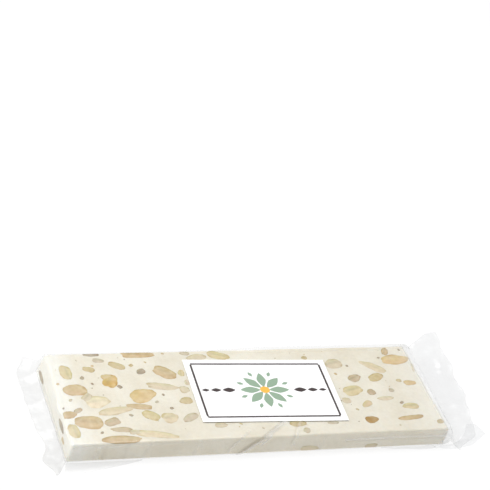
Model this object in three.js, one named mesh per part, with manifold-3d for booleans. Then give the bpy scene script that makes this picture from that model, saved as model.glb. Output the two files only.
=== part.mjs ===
import * as THREE from 'three';
import { mergeVertices } from 'three/addons/utils/BufferGeometryUtils.js';
import Module from 'manifold-3d';

// A flat bar of almond nougat, sealed in a clear film bag with a flat crumpled flap at each
// end, and a paper label stuck on top of the bag.
// Millimetres, +X along the bar, +Y across it, +Z up, resting on z = 0.

// The nougat bar
const BAR_LENGTH = 170;
const BAR_WIDTH = 58;
const BAR_HEIGHT = 9.5;

// The film bag round it: how far it stands off, and the slack ridge along the back top edge
const FILM_SLACK = 0.2;
const EDGE_RADIUS = 0.9;
const EDGE_STEPS = 3;
const RIDGE_RISE = 1.0;
const RIDGE_WIDTH = 3.2;
const RIDGE_START_X = -12;
const RIDGE_FULL_X = 18;
const BAG_STATIONS = 20;
const TOP_WAVE = 0.12;
const WAVE_LENGTH = 62;

// The cut ends of the bar aren't square: they lean and bulge at the bottom
const LEFT_BULGE = 3.0;
const RIGHT_TUCK = 1.0;

// The flaps, front to back at even steps: how far the outer edge reaches past the bar's end,
// and how high that edge lies. The film there is two layers with some air between them.
const FLAP_THICKNESS = 1.0;
const FLAP_OVERLAP = 2.5;
const FLOOR_GAP = 0.15;
const FLAP_STEPS_OUT = 8;
const FLAP_STEPS_ACROSS = 26;
const LEFT_FLAP = {
	side: -1,
	reach: [ 6.8, 10.7, 8.0, 10.1, 11.2, 11.6, 12.3, 12.4, 9.0 ],
	edgeHeight: [ 0.7, 0.9, 1.5, 2.0, 2.3, 2.6, 3.0, 3.4, 4.2 ],
	frontY: [ - 29.3, - 36.4 ],
	backY: [ 29.3, 33.4 ],
	rootShare: 0.3,
	wave: 0.35,
	waves: 4.5
};
const RIGHT_FLAP = {
	side: 1,
	reach: [ 6.0, 17.0, 19.6, 21.4, 22.0, 21.0, 22.2, 20.4, 20.6 ],
	edgeHeight: [ 0.8, 1.6, 2.2, 2.4, 3.0, 4.0, 5.2, 7.2, 9.6 ],
	frontY: [ - 29.3, - 33.2 ],
	backY: [ 29.3, 38.0 ],
	rootShare: 0.24,
	wave: 0.5,
	waves: 5.5
};

// The under layer of film that sticks out past the right flap's front corner
const LOBE = { nearX: 84, farX: 107, frontY: - 31.5, backY: - 18, tipY: - 24, tipRound: 4.5 };
const LOBE_THICKNESS = 0.8;
const LOBE_STEPS = 8;

// Loose film spread on the surface along the front bottom edge: [ x, y ] corners
const LOOSE_THICKNESS = 0.8;
const LEFT_LOOSE = [ [ - 87, - 28 ], [ - 89, - 36 ], [ - 74, - 33.6 ], [ - 54, - 28.6 ], [ - 54, - 28 ] ];
const RIGHT_LOOSE = [ [ 64, - 28 ], [ 65, - 29.2 ], [ 81, - 31.2 ], [ 92, - 32.6 ], [ 92, - 28 ] ];

// Almonds that show through the film as low bumps: how proud they stand and how deep they go in
const ALMOND_RISE = 0.35;
const ALMOND_DEPTH = 1.0;
const ALMOND_TAPER = 0.28;
const ALMOND_SIDES = 10;
const ALMOND_RINGS = 5;

// The largest almonds on the top: [ x, y, length, width, turn in degrees ]
const TOP_ALMONDS = [
	[ - 44, 27.0, 14.5, 4.0, - 3 ], [ - 65, 27.0, 7.5, 2.4, 0 ], [ - 55, 20, 8, 4.2, - 28 ],
	[ - 78.5, 16.2, 9, 5.4, 95 ], [ - 35, 14.5, 11, 7, - 38 ], [ - 60.3, 10, 9, 6.4, 62 ],
	[ - 76.7, 4.8, 10, 7.5, 0 ], [ - 38, 5.3, 14, 4.5, - 10 ], [ - 48.3, 0, 12, 8, 20 ],
	[ - 68.5, - 3, 10.5, 7, 10 ], [ - 51.5, - 7, 11, 3.4, - 12 ], [ - 62, - 9, 16, 4, 10 ],
	[ - 47.8, - 13, 7.5, 5.5, - 35 ], [ - 39.3, - 15, 6.5, 6, 20 ], [ - 31, - 15, 7, 4, 30 ],
	[ - 30.2, - 4.2, 6, 4.2, 10 ], [ - 75.3, - 15.5, 11.5, 7, - 8 ], [ - 62, - 20.8, 9, 3.5, - 5 ],
	[ - 63.5, - 26.3, 16, 3.6, - 2 ], [ - 48.3, - 24.4, 18, 3.8, - 12 ], [ - 82.3, - 21.5, 7, 4, 95 ],
	[ - 7.5, 26, 10, 4, - 10 ], [ - 18, 25, 8, 4, 8 ], [ 15.5, - 22.8, 8, 3.2, 0 ],
	[ 45.5, 17.2, 8.5, 6.5, 15 ], [ 52.2, 7, 6.5, 4.5, 25 ], [ 63.8, 14.2, 13, 4.5, - 38 ],
	[ 62.7, 6.6, 8, 4.2, 22 ], [ 48.3, - 1.4, 9.5, 6.4, 18 ], [ 61.5, - 7.6, 7.8, 2.8, 2 ],
	[ 78, 2.6, 6.4, 3.4, 3 ], [ 51.8, - 10.7, 5.5, 3.4, 35 ], [ 50.5, - 20.8, 6, 4.4, 8 ],
	[ 69.5, - 20.5, 12, 3, 6 ], [ 72, - 13, 7.5, 4, 3 ], [ 76.5, 19, 13, 6, 5 ]
];

// Cut almonds on the long sides: [ x, z, length, height ], the back ones set by a seeded rule
const FRONT_ALMONDS = [ [ 19, 2.8, 9, 3.6 ], [ 48, 2.4, 6, 2.6 ] ];
const BACK_ALMOND_COUNT = 8;
const SEED = 11;

// The paper label
const LABEL_LENGTH = 66;
const LABEL_WIDTH = 41;
const LABEL_THICKNESS = 0.3;
const LABEL_GAP = 0.3;
const LABEL_X = 7.1;
const LABEL_Y = 0.5;
const LABEL_TURN = THREE.MathUtils.degToRad( - 2.3 );

const BAG_LENGTH = BAR_LENGTH + 2 * FILM_SLACK;
const BAG_WIDTH = BAR_WIDTH + 2 * FILM_SLACK;
const BAG_TOP = BAR_HEIGHT + FILM_SLACK;

const wasm = await Module();
wasm.setup();

// Closed mesh to solid, and back
function toSolid( geometry ) {

	const bare = geometry.clone();
	bare.deleteAttribute( 'normal' );
	bare.deleteAttribute( 'uv' );
	const merged = mergeVertices( bare, 1e-4 );
	return new wasm.Manifold( new wasm.Mesh( {
		numProp: 3,
		vertProperties: new Float32Array( merged.attributes.position.array ),
		triVerts: new Uint32Array( merged.index.array )
	} ) );

}

function toGeometry( solid ) {

	const mesh = solid.getMesh();
	const geometry = new THREE.BufferGeometry();
	geometry.setAttribute( 'position', new THREE.BufferAttribute( new Float32Array( mesh.vertProperties ), 3 ) );
	geometry.setIndex( new THREE.BufferAttribute( new Uint32Array( mesh.triVerts ), 1 ) );
	return geometry;

}

function closedGeometry( points, faces ) {

	const geometry = new THREE.BufferGeometry();
	geometry.setAttribute( 'position', new THREE.Float32BufferAttribute( points.flat(), 3 ) );
	geometry.setIndex( faces.flat() );
	return geometry;

}

// Straight steps between evenly spaced values, eased a little at each value
function along( values, t ) {

	const at = THREE.MathUtils.clamp( t, 0, 1 ) * ( values.length - 1 );
	const i = Math.min( Math.floor( at ), values.length - 2 );
	return THREE.MathUtils.lerp( values[ i ], values[ i + 1 ], THREE.MathUtils.smoothstep( at - i, 0, 1 ) );

}

// A seeded draw between two values
let state = SEED;
function draw( low, high ) {

	state = ( state * 1664525 + 1013904223 ) % 4294967296;
	return low + ( high - low ) * state / 4294967296;

}

// The bag's section across the bar, as [ y, z ] points round it from the front bottom edge
function bagSection() {

	const corners = [
		[ BAG_WIDTH / 2 - EDGE_RADIUS, EDGE_RADIUS, - 90 ],
		[ BAG_WIDTH / 2 - EDGE_RADIUS, BAG_TOP - EDGE_RADIUS, 0 ],
		[ - BAG_WIDTH / 2 + EDGE_RADIUS, BAG_TOP - EDGE_RADIUS, 90 ],
		[ - BAG_WIDTH / 2 + EDGE_RADIUS, EDGE_RADIUS, 180 ]
	];
	const points = [];
	corners.forEach( ( [ y, z, start ], corner ) => {

		for ( let i = 0; i <= EDGE_STEPS; i ++ ) {

			const angle = THREE.MathUtils.degToRad( start + 90 * i / EDGE_STEPS );
			points.push( [ y + EDGE_RADIUS * Math.cos( angle ), z + EDGE_RADIUS * Math.sin( angle ) ] );

		}

		if ( corner === 1 ) points.push( [ BAG_WIDTH / 2 - RIDGE_WIDTH, BAG_TOP ] );

	} );
	return points;

}

// The film over the bar, drawn round it along its length, with the ridge and the uneven ends
function bagBody() {

	const section = bagSection();
	const points = [];
	for ( let k = 0; k <= BAG_STATIONS; k ++ ) {

		const x = BAG_LENGTH * ( k / BAG_STATIONS - 0.5 );
		const ridge = RIDGE_RISE * THREE.MathUtils.smoothstep( x, RIDGE_START_X, RIDGE_FULL_X );
		for ( const [ y, z ] of section ) {

			const depth = 1 - z / BAG_TOP;
			const backShare = 0.5 + y / BAG_WIDTH;
			let shift = 0;
			if ( k === 0 ) shift = - LEFT_BULGE * depth * ( 0.45 + 0.55 * backShare );
			if ( k === BAG_STATIONS ) shift = - RIGHT_TUCK * depth;
			const nearRidge = y > BAG_WIDTH / 2 - EDGE_RADIUS - 0.01 && z > BAG_TOP - EDGE_RADIUS - 0.01;
			const lift = nearRidge ? ridge : 0;
			const wave = z > BAR_HEIGHT / 2 ? TOP_WAVE * Math.sin( 2 * Math.PI * x / WAVE_LENGTH ) : 0;
			points.push( [ x + shift, y, z + lift + wave ] );

		}

	}

	const count = section.length;
	const faces = [];
	for ( let k = 0; k < BAG_STATIONS; k ++ ) {

		for ( let i = 0; i < count; i ++ ) {

			const a = k * count + i;
			const b = k * count + ( i + 1 ) % count;
			faces.push( [ a, b, b + count ], [ a, b + count, a + count ] );

		}

	}

	const last = BAG_STATIONS * count;
	const middle = points.length;
	points.push( [ - BAG_LENGTH / 2 - LEFT_BULGE / 3, 0, BAG_TOP / 2 ] );
	points.push( [ BAG_LENGTH / 2 - RIGHT_TUCK / 2, 0, BAG_TOP / 2 ] );
	for ( let i = 0; i < count; i ++ ) {

		const j = ( i + 1 ) % count;
		faces.push( [ middle, j, i ], [ middle + 1, last + i, last + j ] );

	}

	return closedGeometry( points, faces );

}

// A thin closed sheet between an upper and a lower surface, both over steps ( s, t ) from 0 to 1.
// Its faces point out where x falls or rises with s as side says.
function sheet( stepsOut, stepsAcross, side, upper, lower ) {

	const points = [];
	const faces = [];
	const size = ( stepsOut + 1 ) * ( stepsAcross + 1 );
	const at = ( i, j ) => i * ( stepsAcross + 1 ) + j;
	const quad = ( a, b, c, d ) => {

		if ( side > 0 ) faces.push( [ a, b, c ], [ a, c, d ] );
		else faces.push( [ c, b, a ], [ d, c, a ] );

	};

	for ( const surface of [ upper, lower ] ) {

		for ( let i = 0; i <= stepsOut; i ++ ) {

			for ( let j = 0; j <= stepsAcross; j ++ ) points.push( surface( i / stepsOut, j / stepsAcross ) );

		}

	}

	for ( let i = 0; i < stepsOut; i ++ ) {

		for ( let j = 0; j < stepsAcross; j ++ ) {

			quad( at( i, j ), at( i + 1, j ), at( i + 1, j + 1 ), at( i, j + 1 ) );
			quad( size + at( i, j ), size + at( i, j + 1 ), size + at( i + 1, j + 1 ), size + at( i + 1, j ) );

		}

		const far = stepsAcross;
		quad( at( i, 0 ), size + at( i, 0 ), size + at( i + 1, 0 ), at( i + 1, 0 ) );
		quad( at( i, far ), at( i + 1, far ), size + at( i + 1, far ), size + at( i, far ) );

	}

	for ( let j = 0; j < stepsAcross; j ++ ) {

		const out = stepsOut;
		quad( at( 0, j ), at( 0, j + 1 ), size + at( 0, j + 1 ), size + at( 0, j ) );
		quad( at( out, j ), size + at( out, j ), size + at( out, j + 1 ), at( out, j + 1 ) );

	}

	return closedGeometry( points, faces );

}

// A flap: the bag's mouth closes from the bar's height to two layers, then runs out in waves
function flap( { side, reach, edgeHeight, frontY, backY, rootShare, wave, waves } ) {

	const surface = ( s, t, up ) => {

		const spread = THREE.MathUtils.smoothstep( s, 0, 1 );
		const front = THREE.MathUtils.lerp( frontY[ 0 ], frontY[ 1 ], spread );
		const back = THREE.MathUtils.lerp( backY[ 0 ], backY[ 1 ], spread );
		const x = side * ( BAR_LENGTH / 2 - FLAP_OVERLAP + s * ( along( reach, t ) + FLAP_OVERLAP ) );
		const ripple = wave * s * Math.sin( 2 * Math.PI * waves * t + 2.2 * s );
		const middle = THREE.MathUtils.lerp( BAG_TOP / 2, along( edgeHeight, t ), Math.min( 1, s / rootShare ) ** 0.7 );
		const closed = THREE.MathUtils.smoothstep( s, 0, rootShare );
		const half = THREE.MathUtils.lerp( BAG_TOP / 2 - EDGE_RADIUS, FLAP_THICKNESS / 2, closed );
		const bottom = Math.max( FLOOR_GAP, middle - half + ripple );
		const top = Math.max( bottom + FLAP_THICKNESS, middle + half + ripple );
		return [ x, THREE.MathUtils.lerp( front, back, t ), up ? top : bottom ];

	};

	return sheet( FLAP_STEPS_OUT, FLAP_STEPS_ACROSS, side,
		( s, t ) => surface( s, t, true ), ( s, t ) => surface( s, t, false ) );

}

// The under layer at the right front corner, with its rounded tip
function lobe() {

	const surface = ( s, t, z ) => {

		const y = THREE.MathUtils.lerp( LOBE.frontY, LOBE.backY, t );
		const offTip = Math.abs( y - LOBE.tipY ) / LOBE.tipRound;
		const length = ( LOBE.farX - LOBE.nearX ) / Math.sqrt( 1 + offTip * offTip * 0.25 );
		return [ LOBE.nearX + s * length, y, z ];

	};

	return sheet( 4, LOBE_STEPS, 1,
		( s, t ) => surface( s, t, FLOOR_GAP + LOBE_THICKNESS ), ( s, t ) => surface( s, t, FLOOR_GAP ) );

}

function looseFilm( corners ) {

	const outline = new THREE.Shape( corners.map( ( [ x, y ] ) => new THREE.Vector2( x, y ) ) );
	const geometry = new THREE.ExtrudeGeometry( outline, { depth: LOOSE_THICKNESS, bevelEnabled: false } );
	return geometry.translate( 0, 0, FLOOR_GAP );

}

// A low almond, pointed towards its +X end, lying on its middle plane z = 0
function almond( length, width, rise, depth ) {

	const geometry = new THREE.SphereGeometry( 1, ALMOND_SIDES, ALMOND_RINGS ).rotateX( Math.PI / 2 );
	const position = geometry.attributes.position;
	for ( let i = 0; i < position.count; i ++ ) {

		const u = position.getX( i );
		const z = position.getZ( i );
		position.setXYZ( i, u * length / 2, position.getY( i ) * width / 2 * ( 1 - ALMOND_TAPER * u ),
			z * ( z > 0 ? rise : depth ) );

	}

	return geometry;

}

function topAlmonds() {

	return TOP_ALMONDS.map( ( [ x, y, length, width, turn ] ) => {

		const wave = TOP_WAVE * Math.sin( 2 * Math.PI * x / WAVE_LENGTH );
		const geometry = almond( length, width, ALMOND_RISE, ALMOND_DEPTH );
		geometry.rotateZ( THREE.MathUtils.degToRad( turn ) );
		return geometry.translate( x, y, BAG_TOP + wave );

	} );

}

function sideAlmonds() {

	const list = FRONT_ALMONDS.map( ( [ x, z, length, height ] ) => {

		const geometry = almond( length, height, ALMOND_RISE, ALMOND_DEPTH ).rotateX( Math.PI / 2 );
		return geometry.translate( x, - BAG_WIDTH / 2, z );

	} );
	for ( let i = 0; i < BACK_ALMOND_COUNT; i ++ ) {

		const x = BAR_LENGTH * ( ( i + draw( 0.3, 0.7 ) ) / BACK_ALMOND_COUNT - 0.5 );
		const geometry = almond( draw( 5, 11 ), draw( 2.6, 4.2 ), ALMOND_RISE, ALMOND_DEPTH ).rotateX( - Math.PI / 2 );
		list.push( geometry.translate( x, BAG_WIDTH / 2, draw( 3.2, 5.8 ) ) );

	}

	return list;

}

function labelPlate( grow ) {

	const size = [ LABEL_LENGTH + 2 * grow, LABEL_WIDTH + 2 * grow, LABEL_THICKNESS + 2 * grow ];
	return new THREE.BoxGeometry( ...size );

}

function placeLabel( object ) {

	object.position.set( LABEL_X, LABEL_Y, BAG_TOP + TOP_WAVE + LABEL_GAP + LABEL_THICKNESS / 2 );
	object.rotation.z = LABEL_TURN;
	object.updateMatrix();
	return object;

}

// The bag as one solid: bar, flaps and loose film, then the almonds' bumps clear of the label
function wrappedBar() {

	const pieces = [ flap( LEFT_FLAP ), flap( RIGHT_FLAP ), lobe(), looseFilm( LEFT_LOOSE ), looseFilm( RIGHT_LOOSE ) ];
	let solid = toSolid( bagBody() );
	for ( const piece of pieces ) solid = solid.add( toSolid( piece ) );

	const labelRoom = placeLabel( new THREE.Mesh( labelPlate( LABEL_GAP ) ) );
	const room = toSolid( labelRoom.geometry.applyMatrix4( labelRoom.matrix ) );
	for ( const piece of [ ...topAlmonds(), ...sideAlmonds() ] ) solid = solid.add( toSolid( piece ).subtract( room ) );
	return toGeometry( solid );

}

const filmMaterial = new THREE.MeshStandardMaterial( { color: 0xeee9dc, roughness: 0.25, metalness: 0 } );
const labelMaterial = new THREE.MeshStandardMaterial( { color: 0xfbfbf8, roughness: 0.55, metalness: 0 } );

const bag = new THREE.Mesh( wrappedBar(), filmMaterial );
bag.name = 'wrapped_nougat_bar';

const label = placeLabel( new THREE.Mesh( labelPlate( 0 ), labelMaterial ) );
label.name = 'label';

// The origin is under the middle of the whole, on the surface it lies on
const part = new THREE.Group();
part.add( bag, label );
const extent = new THREE.Box3().setFromObject( part );
const centre = extent.getCenter( new THREE.Vector3() );
part.position.set( - centre.x, - centre.y, - extent.min.z );

export default part;
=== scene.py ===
import math
import random

import bmesh
import bpy
from mathutils import Matrix, Vector, noise


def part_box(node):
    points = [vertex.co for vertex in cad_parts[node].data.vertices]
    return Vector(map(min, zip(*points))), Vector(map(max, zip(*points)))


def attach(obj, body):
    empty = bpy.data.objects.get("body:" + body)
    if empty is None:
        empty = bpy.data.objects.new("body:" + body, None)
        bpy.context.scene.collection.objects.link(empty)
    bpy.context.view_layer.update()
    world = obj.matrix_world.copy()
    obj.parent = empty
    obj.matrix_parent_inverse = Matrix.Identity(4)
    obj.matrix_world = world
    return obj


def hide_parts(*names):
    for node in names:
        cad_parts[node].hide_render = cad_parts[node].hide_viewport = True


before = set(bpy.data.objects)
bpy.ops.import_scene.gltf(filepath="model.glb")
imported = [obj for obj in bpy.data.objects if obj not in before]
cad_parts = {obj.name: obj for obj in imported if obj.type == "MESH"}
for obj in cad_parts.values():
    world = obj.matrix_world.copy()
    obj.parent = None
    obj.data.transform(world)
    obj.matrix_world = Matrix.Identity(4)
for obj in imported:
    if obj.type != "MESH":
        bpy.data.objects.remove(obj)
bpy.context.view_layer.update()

# An almond nougat bar sealed in a clear film bag, with a paper label stuck on the bag.
# Sizes are in millimetres from the bar's middle, underside at z = 0; bar_to_frame takes
# a finished mesh to metres in the frame, where the label's node gives the bar's place.
MM = 0.001

# Edges that turn more than this are shaded sharp
SHARP_ANGLE = math.radians(65)

# The bar
BAR_LENGTH = 170.0
BAR_WIDTH = 58.0
BAR_HEIGHT = 9.5
BAR_BOTTOM = 0.2
BAR_EDGE = 1.1
NOUGAT_GRID = (260, 96, 14)
EDGE_CROWDING = 0.75

# Its cut ends: the length of the uneven zone, how far the left foot stands out and the right
# foot stands back, and how much the faces wander
END_ZONE = 6.0
LEFT_BULGE = 3.0
RIGHT_TUCK = 1.0
END_WANDER = 0.35

# Its surface: slow lumps and a fine grain, which fade out towards the foot, and the groove
# beside the ridge of the film, which fades in towards the top
LUMP_HEIGHT = 0.16
GRAIN_HEIGHT = 0.05
FOOT_FADE = (0.2, 2.0)
GROOVE_Y = 26.6
GROOVE_WIDTH = 0.45
GROOVE_DEPTH = 0.35
GROOVE_START = (-14.0, -4.0)
GROOVE_FADE = (9.0, 9.4)

# The label
LABEL_LENGTH = 66.0
LABEL_WIDTH = 41.0
LABEL_THICKNESS = 0.09
LABEL_X = 7.1
LABEL_Y = 0.5
LABEL_TURN = math.radians(-2.3)
LABEL_LIFT = 0.06
LABEL_WAVE = 0.05

# The print on it: a rosette of pointed petals, a row of seeds at each side and a ruled border.
# A petal has a length and a width, and a seed its place from the middle before them
PRINT_THICKNESS = 0.03
PRINT_LIFT = 0.005
PETALS = 8
PETAL_SIZE = (9.2, 4.2)
PETAL_RADIUS = 6.6
SMALL_PETAL_SIZE = (3.2, 1.7)
SMALL_PETAL_RADIUS = 11.2
POINTED = 1.35
CENTRE_DOT = 4.4
SEED_ROW = [(16.4, 5.8, 3.0), (22.2, 4.6, 2.4), (26.9, 3.4, 1.8)]
BORDER_INSET = 3.0
BORDER_RULE = 0.9

# The film bag. Half of its steps along the bar are in the fine zone
FILM_GAP = 0.3
FILM_BOTTOM = 0.03
FILM_TOP = BAR_HEIGHT + FILM_GAP
FILM_RADIUS = 0.9
FILM_WAVE = 0.10
WAVE_FADE = (8.5, 9.5)
BAG_STEPS = 250
FINE_ZONE = (-20.0, 20.0)
FINE_SHARE = 0.5
FLAP_STEPS = 54
AROUND_STEPS = 220

# Its ridge along the back top edge
RIDGE_RISE = 0.95
RIDGE_START = (-12.0, 18.0)
RIDGE_ACROSS = (BAR_WIDTH / 2 - 2.4, BAR_WIDTH / 2 - 0.4)
RIDGE_FADE = (8.0, 9.4)

# Creases over the front top edge: chains of x and distance from the edge (up the top, down
# the front), then half width, rise, how much painted shade darkens the film there, and how
# veiled the film is there
CREASES = [
    ([(8.5, 8.6), (-2.5, 0.0), (-13.4, -9.4)], 0.55, 0.30, 0.8, 0.0),
    ([(9.9, 8.6), (-1.0, 0.0), (-11.4, -9.0)], 0.85, 0.20, 0.0, 0.55),
    ([(6.0, 5.0), (-6.0, -2.0), (-10.5, -6.0)], 0.4, 0.15, 0.6, 0.0),
    ([(1.5, 1.0), (-3.0, -4.5)], 0.6, 0.15, 0.0, 0.45),
    ([(-8.0, 3.5), (-14.0, -2.0), (-17.0, -7.5)], 0.5, 0.18, 0.0, 0.35),
    ([(-9.2, 2.5), (-15.2, -2.4), (-18.0, -7.0)], 0.35, 0.10, 0.35, 0.0),
    ([(16.5, 8.0), (13.0, 1.0), (11.5, -5.0)], 0.6, 0.16, 0.0, 0.35),
    ([(15.2, 8.0), (11.8, 1.0), (10.4, -4.0)], 0.4, 0.10, 0.35, 0.0),
    ([(36.0, -3.4), (60.0, -3.0), (85.5, -3.5)], 0.6, 0.28, 0.0, 0.45),
    ([(36.0, -4.5), (60.0, -4.2), (85.5, -4.7)], 0.45, 0.10, 0.35, 0.0),
    ([(-84.0, -1.6), (-60.0, -1.0), (-38.0, -0.6)], 0.7, 0.15, 0.0, 0.25),
    ([(-73.0, -1.0), (-74.5, -8.0)], 0.8, 0.15, 0.0, 0.25),
    ([(-70.6, -1.5), (-71.8, -8.5)], 0.6, 0.10, 0.3, 0.0),
    ([(-61.5, -1.0), (-62.5, -8.5)], 0.6, 0.15, 0.25, 0.0),
    ([(-52.0, -0.5), (-54.0, -8.0)], 0.8, 0.15, 0.0, 0.22),
    ([(-30.0, -0.5), (-32.5, -8.5)], 0.7, 0.15, 0.0, 0.22),
    ([(26.0, -1.0), (24.5, -8.5)], 0.7, 0.15, 0.0, 0.2),
]

# How far past its ends a crease counts, the back and the foot of the creased zone, and the
# most painted shade and veil that creases give
CREASE_MARGIN = 3.0
CREASE_BACK_Y = -18.0
CREASE_FOOT_Z = 0.3
MOST_PAINTED_SHADE = 0.7
MOST_VEIL = 0.5

# Where the tight film looks whiter: which way, from where to where, and how much
VEILED_ZONES = [
    ((-1, 0), 72.0, 84.0, 0.12),
    ((-1, 0), 82.0, 85.0, 0.10),
    ((1, 0), 66.0, 84.0, 0.20),
    ((1, 0), 81.5, 85.2, 0.42),
    ((0, 1), 26.5, 29.0, 0.06),
]

# The flaps. reach, past the bar's end, and edge_height go from front to back in even steps.
# front_y and back_y give y at the bar and at the edge. shoulder is how far out the film has
# closed, along the end and at the back corner. grey is painted shade that darkens the film, at
# the front and elsewhere, and a painted shadow is added beside the bar. folds are seed, number
# and height, first of those that both layers share and then of each layer's own
LEFT_FLAP = {
    "side": -1,
    "reach": [6.8, 10.7, 8.0, 10.1, 11.2, 11.6, 12.3, 12.4, 9.0],
    "edge_height": [0.5, 0.7, 1.2, 1.8, 2.2, 2.6, 3.0, 3.4, 4.2],
    "front_y": (-29.3, -36.4),
    "back_y": (29.3, 33.4),
    "shoulder": (2.2, 5.0),
    "grey": (0.27, 0.12),
    "painted_shadow_by_bar": 0.0,
    "folds": [(21, 20, 0.5), (22, 26, 0.35)],
}
RIGHT_FLAP = {
    "side": 1,
    "reach": [6.0, 17.0, 18.6, 20.6, 22.0, 21.0, 22.2, 20.4, 20.6],
    "edge_height": [0.6, 1.6, 2.2, 2.4, 3.0, 4.0, 5.2, 7.2, 9.6],
    "front_y": (-29.3, -33.2),
    "back_y": (29.3, 38.0),
    "shoulder": (5.5, 5.5),
    "grey": (0.0, 0.03),
    "painted_shadow_by_bar": 0.06,
    "folds": [(31, 26, 1.15), (32, 34, 0.6)],
}

# The film between the bar and a flap's edge: the share of the bar's height at which it starts,
# along the end and at the back corner, that corner as shares of the bar's width, the least
# height of the flap's middle, how far the layers stand apart, and how far their own folds are
# moved against each other
FLAP_START = (0.45, 0.85)
BACK_CORNER = (0.8, 1.0)
FLAP_FOOT = 0.12
LAYERS_APART = 0.22
LAYER_SHIFT = 7.0
FINE_WAVE = 0.1

# Where folds are drawn, out from the bar and across it, the spread of their turn, their half
# length and half width, and their share of the given height
FOLD_OUT = (-2, 24)
FOLD_ACROSS = (-40, 44)
FOLD_SPREAD = 0.55
FOLD_LENGTH = (6, 17)
FOLD_WIDTH = (1.6, 6.5)
FOLD_SHARE = (0.35, 1)

# Loose film on the surface: each sheet's inner and outer edge as x and y, its rise, the seed
# of its folds, and how much painted shade greys it
FILM_SHEETS = {
    "film_right_corner": {
        "inner": [(101.0, -16.5), (98.5, -21.0), (94.0, -26.0), (88.5, -29.0), (79.0, -29.3)],
        "outer": [(105.6, -17.0), (107.9, -23.2), (98.0, -30.2), (88.5, -32.2), (79.2, -30.9)],
        "rise": 1.0,
        "seed": 7,
        "grey": 0.0,
    },
    "film_front_left": {
        "inner": [(-86.4, -29.2), (-79.0, -29.3), (-71.0, -29.3), (-63.0, -29.3), (-54.0, -29.3)],
        "outer": [(-88.4, -35.9), (-81.5, -35.6), (-74.0, -34.5), (-65.0, -32.5), (-54.5, -29.9)],
        "rise": 0.9,
        "seed": 11,
        "grey": 0.14,
    },
    "film_front_right": {
        "inner": [(54.0, -29.3), (62.0, -29.3), (71.0, -29.3), (79.0, -29.3)],
        "outer": [(53.5, -29.9), (62.5, -30.4), (71.9, -31.3), (79.6, -31.0)],
        "rise": 0.7,
        "seed": 17,
        "grey": 0.08,
    },
}
SHEET_THICKNESS = 0.3
SHEET_GRID = (90, 30)
SHEET_FOLDS = 60
SHEET_FOOT = 0.1
SHEET_VEIL = 0.03
SHEET_CORNER_X = 80.0

# The camera: its place, and which ways are right and up in the picture
CAMERA_PLACE = (-248.61, -503.48, 448.53)
CAMERA_RIGHT = (0.93768, -0.28277, 0.20199)
CAMERA_UP = (0.00048, 0.58231, 0.81296)
CAMERA_LENS = 120.37
CAMERA_SENSOR = 36.0
CAMERA_NEAR = 0.01

# The studio, in metres and watts: a grey floor that glows white, a pale sky, and three soft
# boxes that face the bar, each with its place, size and power
FLOOR_SIZE = 3.0
FLOOR_GREY = (0.2, 0.2, 0.2, 1)
FLOOR_GLOW = 0.8
SKY_COLOUR = (0.95, 0.97, 1, 1)
SKY_STRENGTH = 0.39
SOFTBOXES = {
    "overhead_softbox": ((-0.1, 0.25, 0.9), (0.8, 0.6), 7.65),
    "left_softbox": ((-0.9, 0.05, 0.35), (0.5, 0.4), 3.6),
    "front_softbox": ((-0.2, -1.2, 0.45), (0.8, 0.5), 2.2),
}

# Lengths under this count as none
TINY = 1e-6

label_low, label_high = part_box("label")
label_middle = (label_low + label_high) / 2
shift = Vector((label_middle.x - LABEL_X * MM, label_middle.y - LABEL_Y * MM, 0))
bar_to_frame = Matrix.Translation(shift) @ Matrix.Diagonal((MM, MM, MM, 1))


# Small helpers

def clamp(value, low, high):
    return max(low, min(high, value))


def smooth(value, low, high):
    t = clamp((value - low) / (high - low), 0, 1)
    return t * t * (3 - 2 * t)


def mix(a, b, t):
    return a + (b - a) * t


def along(values, t):
    """Eased steps between evenly spaced values."""
    at = clamp(t, 0, 1) * (len(values) - 1)
    i = min(int(at), len(values) - 2)
    return mix(values[i], values[i + 1], smooth(at - i, 0, 1))


def unit_grid(bm, columns, rows):
    """A flat grid of cells from -0.5 to 0.5 in x and y."""
    bmesh.ops.create_grid(bm, x_segments=columns, y_segments=rows, size=0.5)


def extruded(bm, faces):
    """Extrudes faces and gives the new faces and the new points, still in the old place."""
    grown = bmesh.ops.extrude_face_region(bm, geom=faces)["geom"]
    new_faces = [item for item in grown if isinstance(item, bmesh.types.BMFace)]
    new_verts = {item for item in grown if isinstance(item, bmesh.types.BMVert)}
    return new_faces, new_verts


def add_to(whole, one):
    """Moves a small bmesh into a larger one."""
    mesh = bpy.data.meshes.new("one_part")
    one.to_mesh(mesh)
    one.free()
    whole.from_mesh(mesh)
    bpy.data.meshes.remove(mesh)


def finish_piece(name, bm, materials, replaced=(), smooth_faces=True):
    """Takes a bmesh in bar millimetres to a named piece that rides on the one body."""
    bmesh.ops.recalc_face_normals(bm, faces=bm.faces)
    if bm.calc_volume(signed=True) < 0:
        bmesh.ops.reverse_faces(bm, faces=bm.faces)
    for edge in bm.edges:
        edge.smooth = not edge.is_manifold or edge.calc_face_angle() < SHARP_ANGLE
    bmesh.ops.transform(bm, matrix=bar_to_frame, verts=bm.verts)
    mesh = bpy.data.meshes.new(name)
    bm.to_mesh(mesh)
    bm.free()
    for material in materials:
        mesh.materials.append(material)
    for polygon in mesh.polygons:
        polygon.use_smooth = smooth_faces
    piece = bpy.data.objects.new(name, mesh)
    bpy.context.scene.collection.objects.link(piece)
    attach(piece, "root")
    if replaced:
        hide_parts(*replaced)


# Camera, floor and light

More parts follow.
